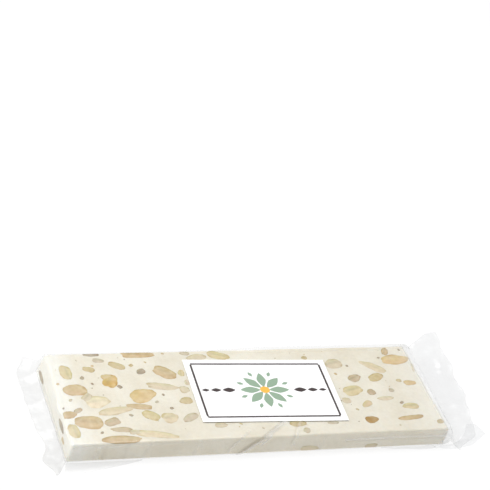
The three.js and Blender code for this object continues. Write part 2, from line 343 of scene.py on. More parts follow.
def make_camera():
    right = Vector(CAMERA_RIGHT).normalized()
    up = Vector(CAMERA_UP)
    up = (up - right * up.dot(right)).normalized()
    back = right.cross(up)
    camera = bpy.data.cameras.new("camera")
    camera.lens = CAMERA_LENS
    camera.sensor_width = CAMERA_SENSOR
    camera.clip_start = CAMERA_NEAR
    holder = bpy.data.objects.new("camera", camera)
    turn = Matrix((right, up, back)).transposed().to_4x4()
    place = Vector(CAMERA_PLACE) * MM + shift
    holder.matrix_world = Matrix.Translation(place) @ turn
    bpy.context.scene.collection.objects.link(holder)
    bpy.context.scene.camera = holder


def make_floor():
    bm = bmesh.new()
    bmesh.ops.create_grid(bm, x_segments=2, y_segments=2, size=FLOOR_SIZE)
    mesh = bpy.data.meshes.new("floor")
    bm.to_mesh(mesh)
    bm.free()
    material = bpy.data.materials.new("lit_white_floor")
    material.use_nodes = True
    shader = material.node_tree.nodes["Principled BSDF"]
    shader.inputs["Base Color"].default_value = FLOOR_GREY
    shader.inputs["Roughness"].default_value = 0.9
    shader.inputs["Specular IOR Level"].default_value = 0.1
    shader.inputs["Emission Color"].default_value = (1, 1, 1, 1)
    shader.inputs["Emission Strength"].default_value = FLOOR_GLOW
    mesh.materials.append(material)
    floor = bpy.data.objects.new("floor", mesh)
    bpy.context.scene.collection.objects.link(floor)


def make_softbox(name, place, size, power):
    light = bpy.data.lights.new(name, "AREA")
    light.shape = "RECTANGLE"
    light.size, light.size_y = size
    light.energy = power
    holder = bpy.data.objects.new(name, light)
    turn = (-Vector(place)).to_track_quat("-Z", "Y").to_matrix().to_4x4()
    holder.matrix_world = Matrix.Translation(place) @ turn
    bpy.context.scene.collection.objects.link(holder)


def make_studio():
    scene = bpy.context.scene
    scene.view_settings.view_transform = "Standard"
    scene.view_settings.look = "None"
    world = bpy.data.worlds.new("studio")
    world.use_nodes = True
    sky = world.node_tree.nodes["Background"]
    sky.inputs["Color"].default_value = SKY_COLOUR
    sky.inputs["Strength"].default_value = SKY_STRENGTH
    scene.world = world
    for name, (place, size, power) in SOFTBOXES.items():
        make_softbox(name, place, size, power)


# Materials

# Painted light: where the nougat's colour turns paler towards each end, standing in for the light
# that the milky film scatters there, as metres along the bar, and how much
RIGHT_PAINTED_LIGHT_ZONE = (0.062, 0.080)
RIGHT_PAINTED_LIGHT_SHARE = 0.6
LEFT_PAINTED_LIGHT_ZONE = (0.079, 0.086)
LEFT_PAINTED_LIGHT_SHARE = 0.8

# Clear film and the thin film of the loose sheets: tint, the painted shade tint of creases and
# grey film, how milky the film is and how much more where it is veiled, and its gloss seen
# straight and slanting
FILM_TINT = (0.968, 0.969, 0.970, 1)
THIN_FILM_TINT = (0.978, 0.979, 0.980, 1)
PAINTED_SHADE_TINT = (0.74, 0.73, 0.71, 1)
FILM_MILK = 0.03
THIN_FILM_MILK = 0.02
VEIL_MILK = 0.6
STRAIGHT_GLOSS = 0.022
SLANTING_GLOSS = 0.13

# How much darker the dark grains of paper and ink are
PAINT_GRAIN = 0.03


class Nodes:
    """A short way to add and join the nodes of one material."""

    def __init__(self, name):
        self.material = bpy.data.materials.new(name)
        self.material.use_nodes = True
        self.tree = self.material.node_tree
        self.shader = self.tree.nodes["Principled BSDF"]
        self.output = self.tree.nodes["Material Output"]
        self.place = self.add("ShaderNodeTexCoord").outputs["Object"]

    def add(self, kind, **values):
        node = self.tree.nodes.new(kind)
        for key, value in values.items():
            setattr(node, key, value)
        return node

    def join(self, source, target):
        self.tree.links.new(source, target)

    def set(self, node, **values):
        for key, value in values.items():
            node.inputs[key.replace("_", " ")].default_value = value

    def grain(self, scale, detail):
        node = self.add("ShaderNodeTexNoise")
        self.set(node, Scale=scale, Detail=detail, Roughness=0.55)
        self.join(self.place, node.inputs["Vector"])
        return node.outputs["Fac"]

    def cells(self, scale):
        node = self.add("ShaderNodeTexVoronoi")
        self.set(node, Scale=scale)
        self.join(self.place, node.inputs["Vector"])
        return node.outputs["Distance"]

    def ramp(self, source, stops):
        node = self.add("ShaderNodeValToRGB")
        elements = node.color_ramp.elements
        while len(elements) < len(stops):
            elements.new(0.5)
        for element, (place, colour) in zip(elements, stops):
            element.position = place
            element.color = (*colour, 1)
        self.join(source, node.inputs["Fac"])
        return node.outputs["Color"]

    def share(self, source, zone, most):
        """A grey that grows from 0 to the given share over a zone of the source."""
        return self.ramp(source, [(zone[0], (0, 0, 0)), (zone[1], (most, most, most))])

    def compute(self, operation, source, *values):
        node = self.add("ShaderNodeMath", operation=operation)
        self.join(source, node.inputs[0])
        for socket, value in zip(node.inputs[1:], values):
            socket.default_value = value
        return node.outputs[0]

    def attribute(self, name, output="Fac"):
        return self.add("ShaderNodeAttribute", attribute_name=name).outputs[output]

    def mix_shaders(self, factor, first, second):
        node = self.add("ShaderNodeMixShader")
        self.join(factor, node.inputs["Fac"])
        self.join(first, node.inputs[1])
        self.join(second, node.inputs[2])
        return node.outputs[0]

    def blend(self, kind, factor, a, b):
        node = self.add("ShaderNodeMix", data_type="RGBA", blend_type=kind)
        for socket, value in ((node.inputs[0], factor), (node.inputs[6], a), (node.inputs[7], b)):
            if isinstance(value, bpy.types.NodeSocket):
                self.join(value, socket)
            else:
                socket.default_value = value
        return node.outputs[2]

    def bump(self, height, strength, distance, below=None):
        node = self.add("ShaderNodeBump")
        self.set(node, Strength=strength, Distance=distance)
        self.join(height, node.inputs["Height"])
        if below is not None:
            self.join(below, node.inputs["Normal"])
        return node.outputs["Normal"]


def nougat_material():
    n = Nodes("cream_nougat")
    mottle = n.ramp(n.grain(60, 4), [(0.3, (0.722, 0.665, 0.536)), (0.7, (0.80, 0.757, 0.645))])
    fine = n.ramp(n.grain(700, 2), [(0.35, (0.965, 0.96, 0.945)), (0.6, (1, 1, 1))])
    axes = n.add("ShaderNodeSeparateXYZ")
    n.join(n.place, axes.inputs[0])
    leftward = n.compute("MULTIPLY", axes.outputs["X"], -1.0)
    # Painted light: the nougat is painted paler over both ends
    right_painted_light = n.share(axes.outputs["X"], RIGHT_PAINTED_LIGHT_ZONE, RIGHT_PAINTED_LIGHT_SHARE)
    left_painted_light = n.share(leftward, LEFT_PAINTED_LIGHT_ZONE, LEFT_PAINTED_LIGHT_SHARE)
    with_painted_light = n.blend("MIX", right_painted_light, mottle, (0.86, 0.83, 0.74, 1))
    with_painted_light = n.blend("MIX", left_painted_light, with_painted_light, (0.86, 0.85, 0.78, 1))
    n.join(n.blend("MULTIPLY", 1.0, with_painted_light, fine), n.shader.inputs["Base Color"])
    pores = n.share(n.cells(520), (0.0, 0.22), 1)
    soft = n.bump(n.grain(160, 3), 0.35, 0.0006)
    n.join(n.bump(pores, 0.12, 0.0002, soft), n.shader.inputs["Normal"])
    n.set(n.shader, Roughness=0.5, Subsurface_Weight=0.25, Subsurface_Scale=0.002)
    n.shader.inputs["Subsurface Radius"].default_value = (1, 0.8, 0.55)
    return n.material


def almond_material():
    n = Nodes("cut_almond")
    tone = n.attribute("tone", "Color")
    rim = n.attribute("rim")
    streaks = n.ramp(n.grain(500, 4), [(0.3, (0.86, 0.83, 0.78)), (0.65, (1, 1, 1))])
    patches = n.share(n.grain(210, 2), (0.4, 0.66), 0.3)
    lighter = n.blend("MIX", patches, tone, (0.80, 0.72, 0.52, 1))
    flesh = n.blend("MULTIPLY", 0.8, lighter, streaks)
    skin = n.share(rim, (0.7, 0.97), 1)
    darker = n.blend("MULTIPLY", 1.0, tone, (0.80, 0.74, 0.62, 1))
    n.join(n.blend("MIX", skin, flesh, darker), n.shader.inputs["Base Color"])
    n.join(n.bump(n.grain(900, 3), 0.25, 0.0002), n.shader.inputs["Normal"])
    n.set(n.shader, Roughness=0.42, Subsurface_Weight=0.1, Subsurface_Scale=0.001)
    return n.material


def film_material(name, tint, milkiness):
    """Clear film: one attribute paints shade into its tint at creases and in grey parts, and veil
    makes veiled parts whiter.
    """
    n = Nodes(name)
    clear = n.add("ShaderNodeBsdfTransparent")
    # Painted shade: the film's tint darkens towards the shade tint where the attribute says
    n.join(n.blend("MIX", n.attribute("painted_shade"), tint, PAINTED_SHADE_TINT), clear.inputs["Color"])
    gloss = n.add("ShaderNodeBsdfGlossy")
    n.set(gloss, Color=(0.97, 0.97, 0.97, 1), Roughness=0.24)
    n.join(n.bump(n.grain(260, 5), 0.12, 0.0006), gloss.inputs["Normal"])
    haze = n.add("ShaderNodeBsdfDiffuse")
    n.set(haze, Color=(0.88, 0.88, 0.875, 1))
    slant = n.compute("POWER", n.add("ShaderNodeLayerWeight").outputs["Facing"], 4.0)
    sheen = n.compute("MULTIPLY_ADD", slant, SLANTING_GLOSS, STRAIGHT_GLOSS)
    milk = n.compute("MULTIPLY_ADD", n.attribute("veil"), VEIL_MILK, milkiness)
    body = n.mix_shaders(milk, clear.outputs[0], haze.outputs[0])
    n.join(n.mix_shaders(sheen, body, gloss.outputs[0]), n.output.inputs["Surface"])
    return n.material


def paint(name, colour):
    """A plain printed or paper colour, with a faint grain."""
    n = Nodes(name)
    low = tuple(c * (1 - PAINT_GRAIN) for c in colour)
    n.join(n.ramp(n.grain(900, 3), [(0.3, low), (0.7, colour)]), n.shader.inputs["Base Color"])
    n.join(n.bump(n.grain(1500, 2), 0.08, 0.0001), n.shader.inputs["Normal"])
    n.set(n.shader, Roughness=0.5)
    return n.material


# The nougat bar

def end_shift(x, y, z):
    """How far the leaning, uneven cut ends move a point of the bar along its length."""
    depth = 1 - z / BAR_HEIGHT
    left = smooth(-x, BAR_LENGTH / 2 - END_ZONE, BAR_LENGTH / 2)
    right = smooth(x, BAR_LENGTH / 2 - END_ZONE, BAR_LENGTH / 2)
    back_share = 0.5 + y / BAR_WIDTH
    wander = END_WANDER * noise.noise(Vector((x * 0.02, y * 0.11, z * 0.2)))
    move = -left * LEFT_BULGE * depth * (0.45 + 0.55 * back_share) - right * RIGHT_TUCK * depth
    return move + (left + right) * wander


def edge_core(point):
    """The nearest point of the smaller box round which the bar's edges are rounded."""
    return Vector((
        clamp(point.x, BAR_EDGE - BAR_LENGTH / 2, BAR_LENGTH / 2 - BAR_EDGE),
        clamp(point.y, BAR_EDGE - BAR_WIDTH / 2, BAR_WIDTH / 2 - BAR_EDGE),
        clamp(point.z, BAR_BOTTOM + BAR_EDGE, BAR_HEIGHT - BAR_EDGE),
    ))


def round_box(point):
    """Rounds the box's edges: a point near an edge goes onto a quarter circle."""
    inner = edge_core(point)
    out = point - inner
    if out.length > TINY:
        out = out.normalized() * BAR_EDGE
    return inner + out


def within_bar(point):
    """Brings a point that stands out past the bar's rounded edges back to them."""
    inner = edge_core(point)
    out = point - inner
    reach = BAR_EDGE + ALMOND_RISE
    if out.length > reach:
        out *= reach / out.length
    return inner + out


def graded(t):
    """Steps from 0 to 1 that crowd together at both ends."""
    return t - EDGE_CROWDING * math.sin(2 * math.pi * t) / (2 * math.pi)


def noise_move(point):
    """A smooth noise along each axis that is the same in every run."""
    return Vector((
        noise.noise(point),
        noise.noise(point + Vector((31.4, 7.7, 13.1))),
        noise.noise(point + Vector((5.9, 47.2, 23.8))),
    ))


def bar_surface(point):
    """The uneven surface of cut nougat, as a move along each axis."""
    slow = noise_move(point * 0.09)
    quick = noise_move(point * 0.55)
    across = math.exp(-((point.y - GROOVE_Y) / GROOVE_WIDTH) ** 2)
    groove = across * smooth(point.x, *GROOVE_START) * smooth(point.z, *GROOVE_FADE)
    move = slow * LUMP_HEIGHT + quick * GRAIN_HEIGHT - Vector((0, 0, GROOVE_DEPTH * groove))
    return move * smooth(point.z, *FOOT_FADE)


def make_nougat():
    """A box with crowded edges, grown layer by layer, then rounded and made uneven."""
    columns, rows, layers = NOUGAT_GRID
    bm = bmesh.new()
    unit_grid(bm, columns, rows)
    for vert in bm.verts:
        vert.co.x = BAR_LENGTH * (graded(vert.co.x + 0.5) - 0.5)
        vert.co.y = BAR_WIDTH * (graded(vert.co.y + 0.5) - 0.5)
        vert.co.z = BAR_BOTTOM
    top = bm.faces[:]
    for layer in range(1, layers + 1):
        covered = top
        top, raised = extruded(bm, covered)
        if layer > 1:
            bmesh.ops.delete(bm, geom=covered, context="FACES")
        height = mix(BAR_BOTTOM, BAR_HEIGHT, graded(layer / layers))
        for vert in raised:
            vert.co.z = height
    for vert in bm.verts:
        rounded = round_box(vert.co)
        moved = rounded + bar_surface(rounded)
        moved.x += end_shift(*vert.co)
        vert.co = moved
    finish_piece("nougat", bm, [nougat_material()])


# Almonds: tones as seen through the film, in linear colour

TONES = {
    "ivory": (0.79, 0.70, 0.50),
    "cream": (0.72, 0.62, 0.42),
    "pale": (0.67, 0.58, 0.41),
    "straw": (0.67, 0.57, 0.32),
    "peach": (0.67, 0.54, 0.33),
    "gold": (0.65, 0.48, 0.22),
    "tan": (0.60, 0.455, 0.25),
    "olive": (0.57, 0.46, 0.235),
    "grey": (0.56, 0.485, 0.35),
    "hazel": (0.53, 0.42, 0.27),
    "dark": (0.36, 0.29, 0.19),
    "amber": (0.64, 0.42, 0.11),
    "bronze": (0.55, 0.40, 0.19),
    "caramel": (0.42, 0.245, 0.055),
}

# How much darker an almond's far side is in red, green and blue
SIDE_TINT = (0.055, 0.015, 0.11)

# Almonds on the top: x, y, length, width, turn in degrees, tone
TOP_ALMONDS = [
    (-65, 28, 7.5, 2.7, 0, "dark"), (-62.5, 23.8, 5, 3, -10, "grey"),
    (-44, 27.0, 15.5, 4.6, -3, "bronze"), (-55, 20, 8, 4.2, -28, "olive"),
    (-68.3, 18, 5.4, 3.6, -25, "olive"), (-45.5, 15.5, 4.2, 3.4, 35, "dark"),
    (-35, 14.5, 11, 7, -38, "tan"), (-27.5, 14, 4.5, 3, 80, "straw"),
    (-26.7, 7.5, 3.5, 2.2, 90, "pale"), (-78.5, 16.2, 9, 5.4, 95, "straw"),
    (-60.3, 10, 9.0, 6.4, 62, "amber"), (-76.7, 4.8, 10, 7.5, 0, "tan"),
    (-68.5, -3, 10.5, 7.5, 10, "ivory"), (-72.5, 0, 5.5, 4, 50, "pale"),
    (-48.3, 0, 12, 8.5, 20, "gold"), (-38, 5.3, 14, 4.5, -10, "pale"),
    (-51.5, -7, 11, 3.4, -12, "tan"), (-62.0, -9.0, 17, 4.4, 10, "cream"),
    (-47.8, -13, 8.0, 5.3, -35, "straw"), (-39.8, -14.6, 7, 6.5, 20, "cream"),
    (-31, -15, 8, 4, 30, "grey"), (-30.2, -4.2, 6, 4.2, 10, "olive"),
    (-29, 2.8, 4.5, 4.5, 0, "pale"), (-75.3, -15.8, 11.5, 8, -8, "tan"),
    (-82.3, -10.5, 6, 4.5, 10, "bronze"), (-78.3, -8.3, 4.5, 2.5, 35, "hazel"),
    (-65.3, -16, 7.4, 4.6, 24, "hazel"), (-62.5, -20.8, 9, 3.2, -5, "hazel"),
    (-57, -22.5, 5, 3, 0, "pale"), (-63.5, -26.8, 16.5, 4.5, -2, "tan"),
    (-48.3, -24.6, 19, 4.0, -12, "cream"), (-82.5, -20.8, 8.5, 5, 95, "straw"),
    (-22.5, 27.4, 4.5, 2.8, -20, "grey"), (-18, 24.2, 9, 4.6, 8, "pale"),
    (-7.5, 25, 10, 5.5, -15, "straw"), (-19, -20.5, 6, 3, 0, "pale"),
    (15.5, -21.5, 8, 4, 0, "olive"), (18.2, -26, 3.5, 3, 45, "grey"),
    (31.5, -22, 5.5, 1.6, 0, "grey"), (32.7, 22, 2.8, 2.4, 0, "olive"),
    (45.5, 17.2, 8.5, 6.8, 15, "pale"), (52.2, 7, 6.5, 4.5, 25, "hazel"),
    (63.8, 14.2, 13.5, 4.5, -38, "cream"), (62.7, 7, 8, 4.8, 22, "olive"),
    (48.3, -1.4, 9.5, 6.6, 18, "straw"), (56.7, -3, 4.2, 4, 30, "hazel"),
    (62, -7.3, 8.2, 2.6, 2, "pale"), (66.9, -2, 2.6, 2.6, 0, "grey"),
    (73, 4.3, 2.6, 2.2, 0, "olive"), (78, 2.6, 6.4, 3.4, 3, "gold"),
    (51.8, -10.7, 5.8, 3.4, 35, "peach"), (43, -8, 4, 4, 0, "pale"),
    (50.5, -20.8, 6, 4.4, 8, "caramel"), (69.5, -20.5, 12.5, 3, 6, "bronze"),
    (72, -13, 7.5, 4, 3, "straw"), (82.2, -24, 3.6, 2.6, 25, "olive"),
    (73.8, 25, 5.6, 3.2, 65, "bronze"), (77, 19, 14.5, 6.5, 5, "gold"),
    (83.5, 13, 6, 1.2, 80, "pale"), (-61.4, 12.8, 5.2, 3.2, 10, "gold"),
]

# Crumbs of almond on the top: x, y
TOP_CRUMBS = [
    (-83.3, 9), (-72.1, 12.5), (-68.5, 8.5), (-80, -1.5), (-84, -6.5), (-66, 20.3), (-57, 6),
    (-39.2, 0), (-43.2, -4.5), (-37.7, -8.7), (-56.3, -12.2), (-71, -22.2), (-32.7, 27.3),
    (-48.8, 20), (-42, 21.8), (-10, -20.2), (-1, -23.5), (44, 10.2), (46, -14), (68.6, -10.6),
    (81.5, 26), (69, 20.5), (51.5, 15.5),
]

# Cut almonds on the front face and the left end: x or y, z, length, height, tone
FRONT_ALMONDS = [(20, 1.9, 8, 3.2, "pale"), (49, 1.7, 6, 2.4, "pale")]
LEFT_ALMONDS = [
    (22, 2.5, 9, 2.2, "dark"), (-13, 5.5, 9, 2.4, "dark"), (-19.5, 3.4, 4, 1.6, "tan"),
]

# How many lie on the sides that don't show, and how many fine crumbs on the top
BACK_ALMONDS = 10
RIGHT_END_ALMONDS = 4
UNDERSIDE_ALMONDS = 60
UNDERSIDE_RIM = Vector((3.0, 2.0))
FINE_CRUMBS = 46
HIDDEN_TONES = ("tan", "gold", "cream", "olive", "pale", "grey")
CRUMB_TONES = ("grey", "olive", "dark", "tan")

# How an almond is cut: how far its face stands out, on the underside too, how deep it goes,
# how square its outline is (2 is an ellipse), its large and small lumps, and its taper
ALMOND_RISE = 0.08
UNDERSIDE_RISE = 0.05
ALMOND_DEPTH = 1.6
ALMOND_SQUARE = 2.6
ALMOND_LUMPS = (0.15, 0.1)
ALMOND_TAPER = 0.36

# How much of that taper almonds on the top, the shown sides and underside, the hidden sides,
# and crumbs have
TOP_TAPER = (0.2, 0.9)
SIDE_TAPER = 0.5
HIDDEN_TAPER = 0.6
CRUMB_TAPER = 0.3


def new_almonds():
    """An empty bmesh with the values that an almond's points carry."""
    bm = bmesh.new()
    bm.verts.layers.float_color.new("tone")
    bm.verts.layers.float.new("rim")
    return bm


def almond_tone(tone, seed, u, v, back_side):
    """The colour at a point of an almond: darker at its far side, with a faint streak."""
    shade = 1 + 0.1 * noise.noise(seed * 2.3)
    patch = noise.noise(seed + Vector((u * 1.4, v * 1.4, 4)))
    side = clamp(back_side * v * 1.2 + 0.9 * patch, -0.35, 1)
    streak = 0.2 * smooth(noise.noise(seed * 1.7), -0.1, 0.3)
    streak *= math.exp(-((v - 0.2 * back_side) / 0.22) ** 2)
    level = shade * (1 - streak * smooth(1 - abs(u), 0.1, 0.4))
    return (*(c * level * (1 - t * side) for c, t in zip(TONES[tone], SIDE_TINT)), 1)


def almond_body(whole, matrix, length, width, tone, taper, rise=ALMOND_RISE):
    """A cut almond: a tapered, slightly lumpy lens whose flat cut face looks along +Z."""
    bm = new_almonds()
    tone_layer = bm.verts.layers.float_color["tone"]
    rim_layer = bm.verts.layers.float["rim"]
    bmesh.ops.create_uvsphere(bm, u_segments=30, v_segments=16, radius=1.0)
    seed = Vector((length * 3.1, width * 7.7, matrix.translation.x * 0.37))
    back_side = 1 if matrix.col[1].y >= 0 else -1
    normal = (matrix.to_3x3() @ Vector((0, 0, 1))).normalized()
    for vert in bm.verts:
        u, v, w = vert.co
        angle = math.atan2(v, u)
        around = Vector((math.cos(angle), math.sin(angle), 0))
        lump = 1 + ALMOND_LUMPS[0] * noise.noise(seed + around * 1.2)
        lump += ALMOND_LUMPS[1] * noise.noise(seed + around * 2.6)
        lump *= sum(abs(c) ** ALMOND_SQUARE for c in around[:2]) ** (-1 / ALMOND_SQUARE)
        point = 1 - taper * max(0, u) ** 1.5 * ALMOND_TAPER
        x = u * length / 2 * lump
        y = v * width / 2 * lump * point * (1 - 0.12 * taper * u)
        z = w * rise if w > 0 else w * min(ALMOND_DEPTH, width * 0.35)
        spot = matrix @ Vector((x, y, 0))
        vert.co = within_bar(matrix @ Vector((x, y, z))) + normal * bar_surface(spot).dot(normal)
        if abs(normal.x) > 0.5:
            vert.co.x += end_shift(spot.x, spot.y, spot.z)
        vert[rim_layer] = math.hypot(u, v) * (0.9 + 0.5 * noise.noise(seed + around * 1.9))
        vert[tone_layer] = almond_tone(tone, seed, u, v, back_side)
    add_to(whole, bm)


# Which way an almond's cut face looks
FACING_UP = Matrix.Identity(4)
FACING_FRONT = Matrix.Rotation(math.radians(90), 4, "X")
FACING_BACK = Matrix.Rotation(math.radians(-90), 4, "X")
FACING_LEFT = Matrix.Rotation(math.radians(-90), 4, "Z") @ FACING_FRONT
FACING_RIGHT = Matrix.Rotation(math.radians(90), 4, "Z") @ FACING_FRONT
FACING_DOWN = Matrix.Rotation(math.radians(180), 4, "X")


def turned(place, facing, degrees):
    """Puts an almond at a place on the bar, facing one way and turned about that way."""
    return Matrix.Translation(place) @ facing @ Matrix.Rotation(math.radians(degrees), 4, "Z")


def hidden_almond(bm, draw, place, facing, lengths, widths):
    """An almond of drawn turn, size and tone on a side that doesn't show."""
    matrix = turned(place, facing, draw.uniform(-15, 15))
    length, width = draw.uniform(*lengths), draw.uniform(*widths)
    almond_body(bm, matrix, length, width, draw.choice(HIDDEN_TONES), HIDDEN_TAPER)


def underside_spots(draw):
    """Seeded spots on the underside that keep apart: x, y and the almond's length."""
    spots = []
    while len(spots) < UNDERSIDE_ALMONDS:
        length = mix(4, 13, draw.random() ** 1.4)
        room = Vector((BAR_LENGTH, BAR_WIDTH)) / 2 - UNDERSIDE_RIM - Vector((length, length)) / 2
        x = draw.uniform(-room.x, room.x)
        y = draw.uniform(-room.y, room.y)
        if all(math.hypot(x - a, y - b) > (length + c) * 0.45 for a, b, c in spots):
            spots.append((x, y, length))
    return spots


def make_almonds(almond):
    bm = new_almonds()
    draw = random.Random(5)
    for x, y, length, width, turn, tone in TOP_ALMONDS:
        matrix = turned((x, y, BAR_HEIGHT), FACING_UP, turn + draw.choice((0, 180)))
        almond_body(bm, matrix, length, width, tone, draw.uniform(*TOP_TAPER))
    for x, z, length, height, tone in FRONT_ALMONDS:
        matrix = turned((x, -BAR_WIDTH / 2, z), FACING_FRONT, 0)
        almond_body(bm, matrix, length, height, tone, SIDE_TAPER)
    for y, z, length, height, tone in LEFT_ALMONDS:
        matrix = turned((-BAR_LENGTH / 2, y, z), FACING_LEFT, 0)
        almond_body(bm, matrix, length, height, tone, SIDE_TAPER)
    for i in range(BACK_ALMONDS):
        x = BAR_LENGTH * ((i + draw.uniform(0.25, 0.75)) / BACK_ALMONDS - 0.5)
        place = (x, BAR_WIDTH / 2, draw.uniform(3.0, 6.5))
        hidden_almond(bm, draw, place, FACING_BACK, (5, 12), (2.4, 4.5))
    for i in range(RIGHT_END_ALMONDS):
        y = BAR_WIDTH * ((i + draw.uniform(0.3, 0.7)) / RIGHT_END_ALMONDS - 0.5)
        place = (BAR_LENGTH / 2, y, draw.uniform(3.5, 6))
        hidden_almond(bm, draw, place, FACING_RIGHT, (4, 8), (2.2, 4))
    for x, y, length in underside_spots(draw):
        matrix = turned((x, y, BAR_BOTTOM + 0.02), FACING_DOWN, draw.uniform(0, 360))
        width = length * draw.uniform(0.35, 0.65)
        tone = draw.choice(HIDDEN_TONES)
        almond_body(bm, matrix, length, width, tone, SIDE_TAPER, UNDERSIDE_RISE)
    finish_piece("almonds", bm, [almond])


def make_crumbs(almond):
    bm = new_almonds()
    draw = random.Random(8)
    spots = [(x, y, draw.uniform(1.2, 2.4)) for x, y in TOP_CRUMBS]
    for _ in range(FINE_CRUMBS):
        x = draw.uniform(-BAR_LENGTH / 2 + 2, BAR_LENGTH / 2 - 2)
        y = draw.uniform(-BAR_WIDTH / 2 + 2, BAR_WIDTH / 2 - 2)
        spots.append((x, y, draw.uniform(0.4, 0.9)))
    for x, y, size in spots:
        matrix = turned((x, y, BAR_HEIGHT), FACING_UP, math.degrees(draw.uniform(0, math.pi)))
        tone = draw.choice(CRUMB_TONES)
        almond_body(bm, matrix, size, size * draw.uniform(0.6, 0.9), tone, CRUMB_TAPER)
    finish_piece("almond_crumbs", bm, [almond])


# The film bag: one closed tube of film, flat at both ends

def film_ring(h, upper):
    """Where tight film is, as y and z, at share h of its upper or lower half from the front."""
    half_width = BAR_WIDTH / 2 + FILM_GAP
    middle = (FILM_BOTTOM + FILM_TOP) / 2
    side = middle - FILM_BOTTOM
    length = 2 * half_width + 2 * side
    travel = h * length
    if travel < side:
        y, rise = -half_width, travel
    elif travel > length - side:
        y, rise = half_width, length - travel
    else:
        y, rise = -half_width + travel - side, side
    z = middle + rise if upper else middle - rise
    inner_y = clamp(y, FILM_RADIUS - half_width, half_width - FILM_RADIUS)
    inner_z = clamp(z, FILM_BOTTOM + FILM_RADIUS, FILM_TOP - FILM_RADIUS)
    out = Vector((y - inner_y, z - inner_z))
    if out.length > TINY:
        out = out.normalized() * FILM_RADIUS
    return inner_y + out.x, inner_z + out.y


def draw_folds(seed, count, height):
    """Straight creases of the flat film: place out from the bar and across it, way, and size."""
    draw = random.Random(seed)
    folds = []
    for _ in range(count):
        place = (draw.uniform(*FOLD_OUT), draw.uniform(*FOLD_ACROSS))
        angle = draw.gauss(0, FOLD_SPREAD)
        way = (math.cos(angle), math.sin(angle))
        size = (draw.uniform(*FOLD_LENGTH), draw.uniform(*FOLD_WIDTH))
        rise = height * draw.choice((-1, 1)) * draw.uniform(*FOLD_SHARE)
        folds.append((place, way, size, rise))
    return folds


def crumple(folds, out, y):
    """How high the roof-shaped folds lift the film at a point."""
    total = 0.0
    for place, way, size, height in folds:
        dx, dy = out - place[0], y - place[1]
        run = 1 - abs(dx * way[0] + dy * way[1]) / size[0]
        side = 1 - abs(dy * way[0] - dx * way[1]) / size[1]
        if run > 0 and side > 0:
            total += height * min(run * 1.6, side)
    return total


def ridge_rise(x, y, z):
    """How high the film's ridge stands along the back top edge."""
    rise = RIDGE_RISE * smooth(x, *RIDGE_START)
    return rise * smooth(y, *RIDGE_ACROSS) * smooth(z, *RIDGE_FADE)


def chain_distance(x, w, chain):
    """The distance of a point from a chain of points."""
    best = 1e9
    for (ax, aw), (bx, bw) in zip(chain, chain[1:]):
        dx, dw = bx - ax, bw - aw
        t = clamp(((x - ax) * dx + (w - aw) * dw) / (dx * dx + dw * dw), 0, 1)
        best = min(best, math.hypot(x - ax - t * dx, w - aw - t * dw))
    return best


def on_top(z):
    """Whether a height of the tight film is on the bar's top, and not down a side."""
    return z > BAR_HEIGHT - 0.2


def crease(x, y, z):
    """Rise, painted shade and veil of the creases at a point of the tight film."""
    rise = painted_shade = veil = 0.0
    if y > CREASE_BACK_Y or z < CREASE_FOOT_Z:
        return rise, painted_shade, veil
    w = y + BAR_WIDTH / 2 if on_top(z) else z - BAR_HEIGHT
    for chain, half_width, height, dark, white in CREASES:
        reach = [point[0] for point in chain]
        if min(reach) - CREASE_MARGIN < x < max(reach) + CREASE_MARGIN:
            share = math.exp(-(chain_distance(x, w, chain) / half_width) ** 2)
            rise += height * share
            # Painted shade darkens the film along each crease
            painted_shade += dark * share
            veil += white * share
    return rise, min(painted_shade, MOST_PAINTED_SHADE), min(veil, MOST_VEIL)


def flap_reach(flap, h):
    """How far the flap's uneven edge reaches past the bar's end."""
    wave = 0.7 * noise.noise(Vector((h * 9, flap["side"], 2.0)))
    nick = 0.35 * noise.noise(Vector((h * 31, flap["side"], 5.0)))
    return along(flap["reach"], h) + (wave + nick)


def tight_film(x, h, upper):
    """Place, painted shade and veil of the film where it lies tight round the bar."""
    y, z = film_ring(h, upper)
    place = Vector((x + end_shift(x, y, z), y, z))
    place.z += ridge_rise(x, y, z)
    wave = FILM_WAVE * noise.noise(Vector((x * 0.05, h * 5, 1.0)))
    place.z += max(0, wave) * smooth(z, *WAVE_FADE)
    rise, painted_shade, veil = crease(x, y, z)
    if on_top(z):
        place.z += rise
    else:
        place.y -= rise
    for way, low, high, share in VEILED_ZONES:
        veil += share * smooth(x * way[0] + place.y * way[1], low, high)
    return place, painted_shade, veil


